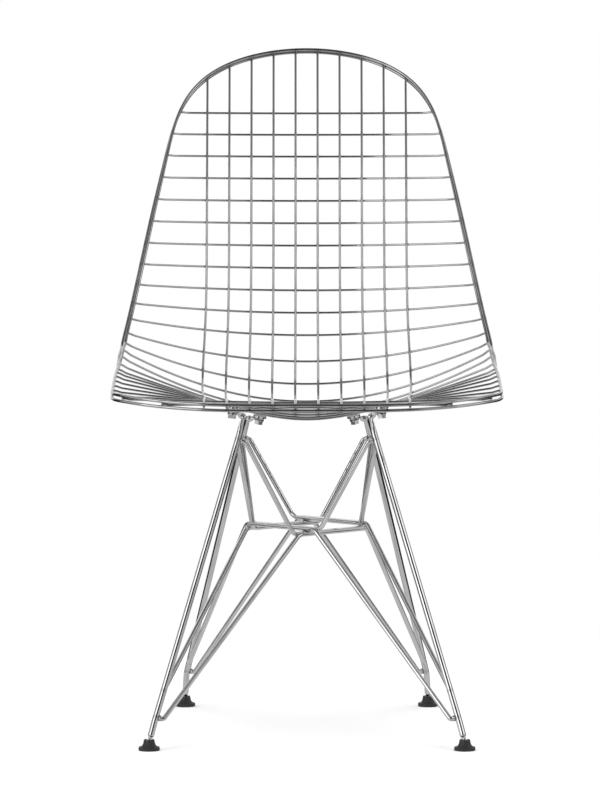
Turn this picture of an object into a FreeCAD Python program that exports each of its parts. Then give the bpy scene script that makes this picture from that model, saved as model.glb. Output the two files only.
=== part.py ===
import FreeCAD, Part
import math
import os

# Wire mesh chair, in millimetres. X runs to the right as seen from the front, Y to the rear, Z up.
# The seat shell is one curved surface; every mesh wire and both rim wires are laid on it.
# While the pieces are made, Y = 0 is the middle of the base. At the end the whole chair is moved
# so that the middle of its box is at X = 0, Y = 0 and the undersides of the glides are at Z = 0.

Vector = FreeCAD.Vector
UP = Vector(0, 0, 1)
FORWARD = Vector(0, -1, 0)
REARWARD = Vector(0, 1, 0)
LEFT = -1
RIGHT = 1
HEAD_SIDES = 6
SIDE_NAMES = {LEFT: "left", RIGHT: "right"}

# Weld contacts: pieces that are welded together stand this far apart instead of sharing a line.
weld_gap = 0.02

# Forms that are joined in one piece reach this far into each other, and holes are drilled this far
# past the faces they go through.
overlap = 0.3

# Middle line of the shell, from the top of the back down to the front edge of the seat.
# A lean is the angle of the line from straight down, towards the front.
top_depth = 320.0
top_height = 841.5
top_lean = 30.0
back_lean = 19.5
low_back_lean = 21.5
knee_lean = 63.0
seat_lean = 100.5
edge_lean = 71.5
curl_length = 190.0
back_length = 260.0
knee_radius = 43.0
hollow_radius = 163.0
seat_length = 195.0
lip_radius = 105.0

# Half width of the shell seen square on: rounded top, long taper down the back, rounded front corners.
half_width_top = 139.0
half_width_seat = 239.0
taper_length = 695.0
taper_power = 2.1
top_round_length = 140.0
top_round_power = 3.9
corner_length = 88.0
corner_power = 2.4

# The rim swells out past that taper twice: a little at the top's shoulders, more beside the low back.
shoulder_swell = 1.4
shoulder_station = 115.0
shoulder_reach = 45.0
flare_swell = 3.2
flare_station = 405.0
flare_reach = 100.0

# How far the side edges stand above the middle line, and how far they come forward of it.
side_rise = 65.0
side_rise_station = 516.0
side_rise_back_reach = 104.0
side_rise_front_reach = 239.5
front_edge_rise = -20.0
wing_depth = 62.0
wing_station = 440.0
wing_back_reach = 330.0
wing_back_power = 4.0
wing_front_reach = 130.0
wing_rise_share = 0.16
wing_rise_back_reach = 255.0

# The hollow across the shell: a large value gives an even curve, a small one a flatter middle
# with straight sides.
hollow_back = 3.0
hollow_front = 0.33
hollow_station = 470.0
hollow_reach = 45.0

# Wires of the mesh. The lengthwise wires lie on the sitter's side of the cross wires.
rim_radius = 2.0
lengthwise_radius = 1.5
cross_radius = 1.4
lengthwise_pitch = 28.5
lengthwise_per_side = 5
first_row = 89.5
row_pitch = 30.0
wide_row_pitch = 35.0
rows_above_wide_pitch = 11
row_count = 25
knee_spread = 0.035
knee_spread_station = 480.0
knee_spread_reach = 90.0
front_gather = 0.025
front_gather_station = 560.0
wire_end_straight = 3.0
wire_end_blend = 9.0
wire_end_step = 4.0
wire_step = 16.0
shortest_step = 1.0

# Base: rods of two sizes.
leg_radius = 4.0
strut_radius = 3.0
front_foot = Vector(192.5, -204.0, 0.0)
rear_foot = Vector(156.6, 203.0, 0.0)
front_kink = Vector(185.6, -195.95, 35.5)
rear_kink = Vector(154.55, 195.25, 43.0)
kink_bend = 15.0
front_top_bend = 5.5
rear_top_bend = 6.5
strut_bend = 12.0
strut_end_bend = 5.0
strut_end_length = 5.5
longest_bend_share = 0.45

# Seat mounts: a pad welded under two neighbouring cross wires, and the flattened leg end below it.
front_mount_rows = (21, 22)
rear_mount_rows = (15, 16)
front_mount_out = 90.5
rear_mount_out = 57.5
mount_height = 7.5
front_leg_reach = 15.5
rear_leg_reach = 15.0
pad_width = 14.0
pad_margin = 5.0
pad_thickness = 2.5
pad_stem_radius = 6.0
pad_flange_radius = 8.5
pad_flange_thickness = 3.0
tab_thickness = 3.0
tab_half_width = 6.0
bolt_radius = 3.0
bolt_head_radius = 5.77
bolt_head_height = 4.4
bolt_hole_radius = 3.3
thread_clearance = 0.05
washer_radius = 6.2
washer_thickness = 1.2
washer_clearance = 0.2

# Strut welds on the legs: the upper ones as drops below the leg's top bend, the lower ones as heights
# above the floor. An inner weld is on the side of the leg that faces the other side of the chair, a
# cross weld on the side that faces the other pair of legs.
front_upper_drop = 28.0
rear_upper_drop = 25.8
front_lower_inner_weld = 39.5
front_lower_cross_weld = 71.0
rear_lower_inner_weld = 47.5
rear_lower_cross_weld = 62.0

# The square ring in the middle, where the struts cross: two layers of rods with their corners at
# the front, the rear and the two sides. Its height is a share of the height of the front upper welds.
ring_height_share = 0.676
ring_half_depth = 79.0
upper_ring_near = 16.5
upper_ring_side = 67.5
lower_ring_near = 9.0
lower_ring_side = 75.0

# Swivel glides: a ball on the end of the leg in a socket in the glide.
glide_flange_radius = 13.0
glide_flange_height = 4.6
glide_flange_chamfer = 0.8
glide_height = 13.4
glide_top_radius = 6.35
glide_waist_radius = 7.5
glide_waist_height = 8.0
glide_foot_radius = 9.5
ball_height = 10.0
ball_radius = 4.5
ball_clearance = 0.06
neck_radius = 2.6
neck_clearance = 0.3
glide_swing = 10.0
swing_margin = 1.5


def arc_length(radius, lean_from, lean_to):
    """Length of a round bend between two leans."""
    return radius * math.radians(abs(lean_to - lean_from))


# Runs of the middle line: lean at its start, lean at its end, length.
runs = [
    (top_lean, back_lean, curl_length),
    (back_lean, low_back_lean, back_length),
    (low_back_lean, knee_lean, arc_length(knee_radius, low_back_lean, knee_lean)),
    (knee_lean, seat_lean, arc_length(hollow_radius, knee_lean, seat_lean)),
    (seat_lean, seat_lean, seat_length),
    (seat_lean, edge_lean, arc_length(lip_radius, seat_lean, edge_lean)),
]
shell_length = sum(length for start, end, length in runs)


def middle_line(station):
    """Depth and height of the middle line at a distance from the top of the back.
    Along a run the lean changes evenly, so each run is a round arc or a straight line."""
    depth = top_depth
    height = top_height
    left_over = station
    for index, (start, end, length) in enumerate(runs):
        last = index == len(runs) - 1
        part = left_over if last else min(left_over, length)
        lean = math.radians(start)
        bend = math.radians(end - start) / length
        if abs(bend) < 1e-9:
            depth -= part * math.sin(lean)
            height -= part * math.cos(lean)
        else:
            depth += (math.cos(lean + bend * part) - math.cos(lean)) / bend
            height -= (math.sin(lean + bend * part) - math.sin(lean)) / bend
        left_over -= part
        if left_over <= 0:
            break
    return depth, height


def hump(distance, reach, power=2.0):
    """A smooth hump: 1 at distance 0, falling away over the reach. A higher power gives a flatter top."""
    return math.exp(-abs(distance / reach) ** power)


def half_side(station):
    """Half width of the shell without its rounded top and front corners."""
    taper = max(0.0, 1.0 - station / taper_length)
    return half_width_seat - (half_width_seat - half_width_top) * taper ** taper_power


def half_outline(station):
    """Half width of the shell out to the middle of its rim."""
    shoulder = shoulder_swell * hump(station - shoulder_station, shoulder_reach)
    width = half_side(station) + shoulder + flare_swell * hump(station - flare_station, flare_reach)
    if station < top_round_length:
        share = min(1.0, (top_round_length - station) / top_round_length)
        width *= math.sqrt(1.0 - share ** top_round_power)
    corner_start = shell_length - corner_length
    if station > corner_start:
        share = min(1.0, (station - corner_start) / corner_length)
        width *= (1.0 - share ** corner_power) ** (1.0 / corner_power)
    return width


def wing(station):
    """How far the side edge comes forward of the middle line."""
    distance = station - wing_station
    if distance < 0:
        return wing_depth * hump(distance, wing_back_reach, wing_back_power)
    return wing_depth * hump(distance, wing_front_reach)


def rise(station):
    """How far the side edge stands above the middle line."""
    distance = station - side_rise_station
    if distance < 0:
        height = side_rise * hump(distance, side_rise_back_reach)
    else:
        height = front_edge_rise + (side_rise - front_edge_rise) * hump(distance, side_rise_front_reach)
    distance = station - wing_station
    reach = wing_rise_back_reach if distance < 0 else wing_front_reach
    return height + wing_rise_share * wing_depth * hump(distance, reach)


def hollow(share, station):
    """Share of the edge's rise at a share of the half width: a hyperbola, flat at the middle."""
    past = max(0.0, station - hollow_station)
    softness = hollow_front + (hollow_back - hollow_front) * hump(past, hollow_reach)
    return (math.hypot(share, softness) - softness) / (math.hypot(1.0, softness) - softness)


def shell_point(across, station):
    """Point of the shell surface at a distance across and a station along the middle line."""
    depth, height = middle_line(station)
    share = hollow(abs(across) / half_side(station), station)
    return Vector(across, depth - wing(station) * share, height + rise(station) * share)


def shell_normal(across, station):
    """Unit vector square to the shell, towards the sitter."""
    reach = 0.5
    sideways = shell_point(across + reach, station) - shell_point(across - reach, station)
    along = shell_point(across, station + reach) - shell_point(across, station - reach)
    square = along.cross(sideways)
    return square.normalize()


def blend(value):
    """0 below 0, 1 above 1 and a smooth ramp between."""
    value = min(1.0, max(0.0, value))
    return value * value * (3.0 - 2.0 * value)


def lift(distance_to_end, full):
    """Offset of a mesh wire from the shell. It fades out near the end, where the wire runs in
    between the two rim wires."""
    return full * blend((distance_to_end - wire_end_straight) / wire_end_blend)


def solve(function, low, high):
    """Where a falling or rising function passes zero between two values, by halving."""
    rising = function(high) > function(low)
    for step in range(60):
        middle = (low + high) / 2.0
        if (function(middle) > 0) == rising:
            high = middle
        else:
            low = middle
    return (low + high) / 2.0


def divided(stations, step):
    """The same stations with even steps between neighbours, none longer than the step."""
    result = [stations[0]]
    for start, end in zip(stations, stations[1:]):
        count = max(1, math.ceil((end - start) / step))
        for index in range(1, count + 1):
            result.append(start + (end - start) * index / count)
    return result


def wire_stations(start, end, crossings):
    """Stations along a mesh wire: fine steps where it fades in at its two ends, and one at every
    crossing in between."""
    fade = wire_end_straight + wire_end_blend
    first = start + fade + shortest_step
    last = end - fade - shortest_step
    inner = [value for value in crossings if first < value < last]
    head = divided([start, start + fade], wire_end_step)
    tail = divided([end - fade, end], wire_end_step)
    middle = divided([start + fade] + inner + [end - fade], wire_step)
    return head[:-1] + middle + tail[1:]


def biarc(start, start_way, end, end_way):
    """Two round arcs that join two points and leave and meet them along the given directions."""
    chord = end - start
    along = chord.dot(start_way + end_way)
    spread = 2.0 * (1.0 - start_way.dot(end_way))
    if spread < 1e-9:
        reach = chord.dot(chord) / (2.0 * along)
    else:
        reach = (math.sqrt(along * along + spread * chord.dot(chord)) - along) / spread
    first = start + start_way * reach
    second = end - end_way * reach
    joint = (first + second) * 0.5
    return [arc_edge(start, first, joint), arc_edge(joint, second, end)]


def arc_edge(start, corner, end):
    """Round arc from start to end, tangent to the lines from the corner to both."""
    chord_middle = (start + end) * 0.5
    height = (corner - chord_middle).Length
    half_chord = (end - start).Length / 2.0
    if height < 1e-5 * half_chord:
        return Part.LineSegment(start, end).toShape()
    half_turn = math.atan2(height, half_chord)
    sagitta = half_chord * math.tan(half_turn / 2.0)
    peak = chord_middle + (corner - chord_middle) * (sagitta / height)
    return Part.Arc(start, peak, end).toShape()


def round_bar(edges, radius, start, direction):
    """Solid round bar along joined edges that start at a point in a direction."""
    path = Part.Wire(edges)
    section = Part.Wire([Part.makeCircle(radius, start, direction)])
    return path.makePipeShell([section], True, False)


def drawn_wire(path, stations, radius):
    """Round wire along a path given as a function of the station, through all the stations."""
    reach = 0.05
    points = [path(value) for value in stations]
    ways = []
    for value in stations:
        low = max(value - reach, stations[0])
        high = min(value + reach, stations[-1])
        ways.append((path(high) - path(low)).normalize())
    edges = []
    for index in range(len(stations) - 1):
        edges += biarc(points[index], ways[index], points[index + 1], ways[index + 1])
    return round_bar(edges, radius, points[0], ways[0])


def bent_rod(points, radius, bends):
    """Round rod along straight lines with a round bend at every inner point."""
    edges = []
    last = points[0]
    for index in range(1, len(points) - 1):
        corner = points[index]
        way_in = (corner - points[index - 1]).normalize()
        way_out = (points[index + 1] - corner).normalize()
        half_turn = way_in.getAngle(way_out) / 2.0
        room = min((corner - points[index - 1]).Length, (points[index + 1] - corner).Length)
        reach = min(bends[index - 1] * math.tan(half_turn), longest_bend_share * room)
        first = corner - way_in * reach
        second = corner + way_out * reach
        edges.append(Part.LineSegment(last, first).toShape())
        edges.append(arc_edge(first, corner, second))
        last = second
    edges.append(Part.LineSegment(last, points[-1]).toShape())
    return round_bar(edges, radius, points[0], points[1] - points[0])


def mirrored(shape):
    """The same piece on the other side of the chair."""
    return shape.mirror(Vector(0, 0, 0), Vector(1, 0, 0))


pieces = {}

# Rows of cross wires, as stations along the middle line.
row_stations = []
row_station = first_row
for row in range(1, row_count + 1):
    row_stations.append(row_station)
    row_station += wide_row_pitch if row == rows_above_wide_pitch else row_pitch


def lengthwise_across(number, station):
    """Distance of a lengthwise wire from the middle line, wire 1 being the innermost."""
    spread = 1.0 + knee_spread * hump(station - knee_spread_station, knee_spread_reach)
    past = max(0.0, station - front_gather_station)
    spread -= front_gather * past / (shell_length - front_gather_station)
    return (number - 0.5) * lengthwise_pitch * spread


# Cross wires, number 1 at the top of the back and the last one at the front edge of the seat.
cross_offset = -(cross_radius + weld_gap / 2.0)


def cross_path(station):
    """Path of the cross wire at a station, as a function of the distance across."""
    edge = half_outline(station)

    def path(across):
        offset = lift(edge - abs(across), cross_offset)
        return shell_point(across, station) + shell_normal(across, station) * offset

    return path


for row, station in enumerate(row_stations, start=1):
    edge = half_outline(station)
    crossings = [lengthwise_across(number, station) for number in range(1, lengthwise_per_side + 1)]
    crossings = sorted([-value for value in crossings] + [0.0] + crossings)
    stations = wire_stations(-edge, edge, crossings)
    pieces["cross_wire_%02d" % row] = drawn_wire(cross_path(station), stations, cross_radius)

# Lengthwise wires, from the rim at the top of the back to the rim at the front edge of the seat.
lengthwise_offset = lengthwise_radius + weld_gap / 2.0


def lengthwise_path(number, start, end):
    """Path of a lengthwise wire, as a function of the station."""

    def path(station):
        across = lengthwise_across(number, station)
        offset = lift(min(station - start, end - station), lengthwise_offset)
        return shell_point(across, station) + shell_normal(across, station) * offset

    return path


for number in range(1, lengthwise_per_side + 1):

    def beyond(station):
        return half_outline(station) - lengthwise_across(number, station)

    start = solve(beyond, 0.0, top_round_length)
    end = solve(beyond, shell_length - corner_length, shell_length)
    stations = wire_stations(start, end, row_stations)
    wire = drawn_wire(lengthwise_path(number, start, end), stations, lengthwise_radius)
    pieces["lengthwise_wire_right_%d" % number] = wire
    pieces["lengthwise_wire_left_%d" % number] = mirrored(wire)

# Rim: two closed wires, one on each side of the mesh, with the mesh wires' ends welded between them.
rim_offset = rim_radius + lengthwise_radius + weld_gap
outline_points = 500


def rim_outline():
    """Points along the right half of the outline, as across and station. The station moves
    slowly near the top and near the front edge, where the outline runs across the chair."""
    result = []
    for index in range(outline_points + 1):
        share = 0.5 - 0.5 * math.cos(math.pi * index / outline_points)
        share = share * share * (3.0 - 2.0 * share)
        result.append((half_outline(shell_length * share), shell_length * share))
    return result


def rim_wire(offset):
    """One rim wire: half of it is drawn along the outline and the other half is its mirror image."""
    outline = [shell_point(*place) + shell_normal(*place) * offset for place in rim_outline()]
    travelled = [0.0]
    for start, end in zip(outline, outline[1:]):
        travelled.append(travelled[-1] + (end - start).Length)

    def path(distance):
        low = 0
        high = len(travelled) - 1
        while high - low > 1:
            middle = (low + high) // 2
            if travelled[middle] <= distance:
                low = middle
            else:
                high = middle
        share = (distance - travelled[low]) / (travelled[high] - travelled[low])
        return outline[low] + (outline[high] - outline[low]) * share

    stations = divided([0.0, travelled[-1]], wire_step)
    reach = wire_end_step / 2.0
    points = [path(value) for value in stations]
    ways = [Vector(1, 0, 0)]
    for value in stations[1:-1]:
        ways.append((path(value + reach) - path(value - reach)).normalize())
    ways.append(Vector(-1, 0, 0))
    edges = []
    for index in range(len(stations) - 1):
        edges += biarc(points[index], ways[index], points[index + 1], ways[index + 1])
    half = round_bar(edges, rim_radius, points[0], ways[0])
    return half.fuse(mirrored(half)).Solids[0]


pieces["rim_upper_wire"] = rim_wire(rim_offset)
pieces["rim_lower_wire"] = rim_wire(-rim_offset)


class Mount:
    """Frame of one seat mount on the right side: its middle under two cross wires, the direction
    up towards the seat, and the directions along the cross wires and square to them."""

    def __init__(self, rows, out, tab_side):
        wires = [cross_path(row_stations[row - 1]) for row in rows]
        centres = [wire(out) for wire in wires]
        half_pad = pad_width / 2.0
        ahead = Vector(0, 0, 0)
        for wire in wires:
            ahead += wire(out + half_pad) - wire(out - half_pad)
        along = centres[1] - centres[0]
        self.row_distance = along.Length
        self.along = along.normalize()
        self.up = self.along.cross(ahead).normalize()
        self.across = self.up.cross(self.along).normalize()
        middle = (centres[0] + centres[1]) * 0.5
        crossed = [wire(out + half_pad * share) for wire in wires for share in (-1.0, -0.5, 0.0, 0.5, 1.0)]
        lowest = min((point - middle).dot(self.up) for point in crossed)
        self.pad_top = middle + self.up * (lowest - cross_radius - weld_gap)
        self.tab_top = self.pad_top - self.up * (mount_height + weld_gap)
        self.tab_way = self.across * math.copysign(1.0, tab_side * self.across.x)


front_mount = Mount(front_mount_rows, front_mount_out, RIGHT)
rear_mount = Mount(rear_mount_rows, rear_mount_out, LEFT)


def block(frame, middle, length, width, height):
    """Box with its top face centred on a point, lying along a mount's directions."""
    corner = middle - frame.along * (length / 2.0) - frame.across * (width / 2.0)
    outline = [
        corner,
        corner + frame.along * length,
        corner + frame.along * length + frame.across * width,
        corner + frame.across * width,
        corner,
    ]
    return Part.Face(Part.makePolygon(outline)).extrude(frame.up * -height)


def drill(frame, radius, top, depth):
    """Round rod that is cut away to make a hole square to a mount, from a point downwards."""
    start = top + frame.up * overlap
    return Part.makeCylinder(radius, depth + 2.0 * overlap, start, frame.up * -1.0)


def seat_mount_pad(frame):
    """Pad plate under the two cross wires, a stem, and a flange that the leg's tab is bolted to."""
    plate = block(frame, frame.pad_top, frame.row_distance + 2.0 * pad_margin, pad_width, pad_thickness)
    stem = Part.makeCylinder(pad_stem_radius, mount_height, frame.pad_top, frame.up * -1.0)
    flange_top = frame.pad_top - frame.up * (mount_height - pad_flange_thickness)
    flange = Part.makeCylinder(pad_flange_radius, pad_flange_thickness, flange_top, frame.up * -1.0)
    hole = drill(frame, bolt_radius + thread_clearance, frame.pad_top, mount_height)
    return plate.fuse([stem, flange]).cut(hole).removeSplitter().Solids[0]


def mount_washer(frame):
    """Washer between the leg's tab and the bolt head."""
    top = frame.tab_top - frame.up * (tab_thickness + weld_gap)
    disc = Part.makeCylinder(washer_radius, washer_thickness, top, frame.up * -1.0)
    return disc.cut(drill(frame, bolt_hole_radius, top, washer_thickness))


def mount_bolt(frame):
    """Bolt from below, through the washer and the tab into the pad, with a six-sided head."""
    head_top = frame.tab_top - frame.up * (tab_thickness + washer_thickness + 2.0 * weld_gap)
    corners = []
    for corner in range(HEAD_SIDES + 1):
        turn = math.tau * corner / HEAD_SIDES
        spoke = frame.along * math.cos(turn) + frame.across * math.sin(turn)
        corners.append(head_top + spoke * bolt_head_radius)
    head = Part.Face(Part.makePolygon(corners)).extrude(frame.up * -bolt_head_height)
    shank_length = tab_thickness + washer_thickness + mount_height - pad_thickness
    shank = Part.makeCylinder(bolt_radius, shank_length, head_top, frame.up)
    return head.fuse(shank).Solids[0]


class Leg:
    """One leg on the right side: the points of its middle line from the ball to the tab."""

    def __init__(self, foot, kink, frame, reach, top_bend):
        self.ball = Vector(foot.x, foot.y, ball_height)
        self.kink = kink
        self.frame = frame
        self.top_bend = top_bend
        self.top = frame.tab_top - frame.up * leg_radius - frame.tab_way * reach
        self.foot_way = (kink - self.ball).normalize()
        self.way = (self.top - kink).normalize()

    def at_height(self, height):
        """Point of the straight parts at a height, and the upward direction there."""
        start, way = (self.kink, self.way) if height > self.kink.z else (self.ball, self.foot_way)
        return start + way * ((height - start.z) / way.z), way


def leg(line):
    """Bent rod with a ball at the foot and a flattened, drilled tab at the top."""
    frame = line.frame
    widest = math.radians(glide_swing) + UP.getAngle(line.foot_way)
    mouth_height = glide_height - ball_height + neck_clearance
    shoulder = (mouth_height + leg_radius * math.sin(widest)) / math.cos(widest)
    start = line.ball + line.foot_way * shoulder
    half_turn = line.way.getAngle(frame.tab_way) / 2.0
    rod_end = line.top + frame.tab_way * (line.top_bend * math.tan(half_turn) + overlap)
    rod = bent_rod([start, line.kink, line.top, rod_end], leg_radius, [kink_bend, line.top_bend])
    ball = Part.makeSphere(ball_radius, line.ball)
    neck = Part.makeCylinder(neck_radius, shoulder + overlap, line.ball, line.foot_way)
    flat_length = washer_radius + washer_clearance
    flat_middle = frame.tab_top - frame.tab_way * flat_length - frame.up * (tab_thickness / 2.0)
    flat_section = Part.Ellipse(
        flat_middle + frame.along * tab_half_width,
        flat_middle + frame.up * (tab_thickness / 2.0 - weld_gap),
        flat_middle,
    )
    round_section = Part.makeCircle(leg_radius, rod_end, frame.tab_way)
    taper = Part.makeLoft([Part.Wire([round_section]), Part.Wire([flat_section.toShape()])], True)
    tab_end = Part.makeCylinder(tab_half_width, tab_thickness, frame.tab_top, frame.up * -1.0)
    tab_length = flat_length + overlap
    tab_middle = frame.tab_top - frame.tab_way * (tab_length / 2.0)
    tab = block(frame, tab_middle, 2.0 * tab_half_width, tab_length, tab_thickness)
    hole = drill(frame, bolt_hole_radius, frame.tab_top, tab_thickness)
    whole = rod.fuse([ball, neck, taper, tab, tab_end]).cut(hole)
    return whole.Solids[0]


front_leg = Leg(front_foot, front_kink, front_mount, front_leg_reach, front_top_bend)
rear_leg = Leg(rear_foot, rear_kink, rear_mount, rear_leg_reach, rear_top_bend)

for name, line in (("front", front_leg), ("rear", rear_leg)):
    right_leg = leg(line)
    right_pad = seat_mount_pad(line.frame)
    pieces["leg_%s_right" % name] = right_leg
    pieces["leg_%s_left" % name] = mirrored(right_leg)
    pieces["seat_mount_%s_right" % name] = right_pad
    pieces["seat_mount_%s_left" % name] = mirrored(right_pad)

right_washers = [mount_washer(front_mount), mount_washer(rear_mount)]
right_bolts = [mount_bolt(front_mount), mount_bolt(rear_mount)]
pieces["mount_washers"] = Part.makeCompound(right_washers + [mirrored(item) for item in right_washers])
pieces["mount_bolts"] = Part.makeCompound(right_bolts + [mirrored(item) for item in right_bolts])


def on_side(point, side):
    """A point of the right side, moved to the given side."""
    return Vector(point.x * side, point.y, point.z)


def weld_end(line, side, height, towards):
    """End of a strut that butts against a leg: its tip on the leg, and the corner before the tip.
    The strut is on the side of the leg that the direction points to."""
    point, way = line.at_height(height)
    point = on_side(point, side)
    way = on_side(way, side)
    out = (towards - way * towards.dot(way)).normalize()
    tip = point + out * (leg_radius + weld_gap)
    return tip, tip + out * strut_end_length


def strut_points(near_end, near_corner, far_corner, far_end, level):
    """Corners of a strut from one leg, round two corners of the ring, to the leg diagonally opposite."""
    near = Vector(near_corner[0], near_corner[1], level)
    far = Vector(far_corner[0], far_corner[1], level)
    return [near_end[0], near_end[1], near, far, far_end[1], far_end[0]]


front_upper_weld = front_leg.top.z - front_upper_drop
rear_upper_weld = rear_leg.top.z - rear_upper_drop
low_level = front_upper_weld * ring_height_share
high_level = low_level + 2.0 * strut_radius + weld_gap
strut_corners = {}

for side in (LEFT, RIGHT):
    inward = Vector(-side, 0, 0)
    other = -side
    front_level = low_level if side == LEFT else high_level
    rear_level = high_level if side == LEFT else low_level
    strut_corners["upper_strut_front_" + SIDE_NAMES[side]] = strut_points(
        weld_end(front_leg, side, front_upper_weld, inward),
        (side * upper_ring_near, -ring_half_depth),
        (other * upper_ring_side, 0.0),
        weld_end(rear_leg, other, rear_upper_weld, FORWARD),
        front_level,
    )
    strut_corners["upper_strut_rear_" + SIDE_NAMES[side]] = strut_points(
        weld_end(rear_leg, side, rear_upper_weld, inward),
        (side * upper_ring_near, ring_half_depth),
        (other * upper_ring_side, 0.0),
        weld_end(front_leg, other, front_upper_weld, REARWARD),
        rear_level,
    )
    strut_corners["lower_strut_front_" + SIDE_NAMES[side]] = strut_points(
        weld_end(front_leg, side, front_lower_inner_weld, inward),
        (side * lower_ring_near, -ring_half_depth),
        (other * lower_ring_side, 0.0),
        weld_end(rear_leg, other, rear_lower_cross_weld, FORWARD),
        front_level,
    )
    strut_corners["lower_strut_rear_" + SIDE_NAMES[side]] = strut_points(
        weld_end(rear_leg, side, rear_lower_inner_weld, inward),
        (side * lower_ring_near, ring_half_depth),
        (other * lower_ring_side, 0.0),
        weld_end(front_leg, other, front_lower_cross_weld, REARWARD),
        rear_level,
    )

# Struts that meet at the side corners of the ring are pressed into each other when they are welded:
# each later strut is notched where an earlier one, grown by a little less than the weld gap, passes
# through it.
notch_gap = 0.9 * weld_gap
strut_bends = [strut_end_bend, strut_bend, strut_bend, strut_end_bend]
grown_struts = []
for name, corners in strut_corners.items():
    rod = bent_rod(corners, strut_radius, strut_bends)
    for grown in grown_struts:
        if rod.distToShape(grown)[0] < weld_gap - notch_gap:
            rod = rod.cut(grown)
    pieces[name] = rod.Solids[0]
    grown_struts.append(bent_rod(corners, strut_radius + notch_gap, strut_bends))


def glide(foot, lean):
    """Round glide with a flange on the floor, a bell above it and a ball socket in the bell."""
    rim = glide_flange_radius
    chamfer = glide_flange_chamfer
    profile = [
        Vector(0, 0, 0),
        Vector(rim - chamfer, 0, 0),
        Vector(rim, 0, chamfer),
        Vector(rim, 0, glide_flange_height - chamfer),
        Vector(rim - chamfer, 0, glide_flange_height),
        Vector(glide_foot_radius, 0, glide_flange_height),
        Vector(glide_waist_radius, 0, glide_waist_height),
        Vector(glide_top_radius, 0, glide_height),
        Vector(0, 0, glide_height),
        Vector(0, 0, 0),
    ]
    body = Part.Face(Part.makePolygon(profile)).revolve(Vector(0, 0, 0), UP, 360)
    socket = Part.makeSphere(ball_radius + ball_clearance, Vector(0, 0, ball_height))
    widest = math.radians(glide_swing + swing_margin) + lean
    mouth_low = neck_radius / math.cos(widest)
    mouth_height = glide_height - ball_height + overlap
    mouth_high = mouth_low + mouth_height * math.tan(widest)
    mouth = Part.makeCone(mouth_low, mouth_high, mouth_height, Vector(0, 0, ball_height))
    shape = body.cut(socket.fuse(mouth))
    shape.translate(Vector(foot.x, foot.y, 0))
    return shape.Solids[0]


for name, line in (("front", front_leg), ("rear", rear_leg)):
    right_glide = glide(line.ball, UP.getAngle(line.foot_way))
    pieces["glide_%s_right" % name] = right_glide
    pieces["glide_%s_left" % name] = mirrored(right_glide)

# The middle of the chair's box goes to X = 0, Y = 0, and its lowest point to Z = 0.
box = Part.makeCompound(list(pieces.values())).optimalBoundingBox(False, False)
to_middle = Vector(0, -(box.YMin + box.YMax) / 2.0, -box.ZMin)

os.makedirs("parts", exist_ok=True)
for name, shape in pieces.items():
    shape.translate(to_middle)
    shape.exportStep("parts/" + name + ".step")
    print(name, shape.ShapeType, len(shape.Solids), shape.isValid(), round(shape.Volume, 1))

print("moved by", to_middle, "box", box)
for name, line in (("front", front_leg), ("rear", rear_leg)):
    print(name, "ball centre", line.ball + to_middle, "leg way", line.foot_way)
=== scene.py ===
import math

import bpy
import numpy as np
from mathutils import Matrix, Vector


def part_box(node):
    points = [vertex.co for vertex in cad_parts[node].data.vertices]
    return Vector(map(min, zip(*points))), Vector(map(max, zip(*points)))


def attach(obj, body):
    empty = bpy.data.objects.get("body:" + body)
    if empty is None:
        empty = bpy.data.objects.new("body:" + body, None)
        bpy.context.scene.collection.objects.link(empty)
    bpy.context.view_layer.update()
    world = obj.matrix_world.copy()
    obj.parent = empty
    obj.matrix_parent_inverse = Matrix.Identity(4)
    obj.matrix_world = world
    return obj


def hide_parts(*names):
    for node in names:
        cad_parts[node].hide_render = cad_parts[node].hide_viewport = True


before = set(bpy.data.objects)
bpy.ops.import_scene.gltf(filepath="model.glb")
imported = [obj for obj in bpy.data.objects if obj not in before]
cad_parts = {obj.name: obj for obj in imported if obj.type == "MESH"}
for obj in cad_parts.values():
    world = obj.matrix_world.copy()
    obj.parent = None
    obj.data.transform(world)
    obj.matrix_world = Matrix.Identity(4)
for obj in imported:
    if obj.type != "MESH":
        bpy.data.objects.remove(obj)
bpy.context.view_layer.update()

# The shell is one curved surface from the top of the back to the front edge of the seat. Its
# lengths are in millimetres, as on a drawing, and each piece is turned into metres when it is
# made. The wires of the mesh lie on it, and the two rim wires close its outline.
METRE = 0.001
top_depth = 320.0
top_height = 841.5
top_lean = 30.0
back_lean = 19.5
low_back_lean = 21.5
knee_lean = 63.0
seat_lean = 100.5
edge_lean = 71.5
curl_length = 190.0
back_length = 260.0
knee_radius = 43.0
hollow_radius = 163.0
seat_length = 195.0
lip_radius = 105.0


def bend_length(radius, lean_from, lean_to):
    """Length of a round bend: its radius times its turn."""
    return radius * math.radians(abs(lean_to - lean_from))


shell_runs = [
    (top_lean, back_lean, curl_length),
    (back_lean, low_back_lean, back_length),
    (low_back_lean, knee_lean, bend_length(knee_radius, low_back_lean, knee_lean)),
    (knee_lean, seat_lean, bend_length(hollow_radius, knee_lean, seat_lean)),
    (seat_lean, seat_lean, seat_length),
    (seat_lean, edge_lean, bend_length(lip_radius, seat_lean, edge_lean)),
]
shell_length = sum(length for start, end, length in shell_runs)


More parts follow.
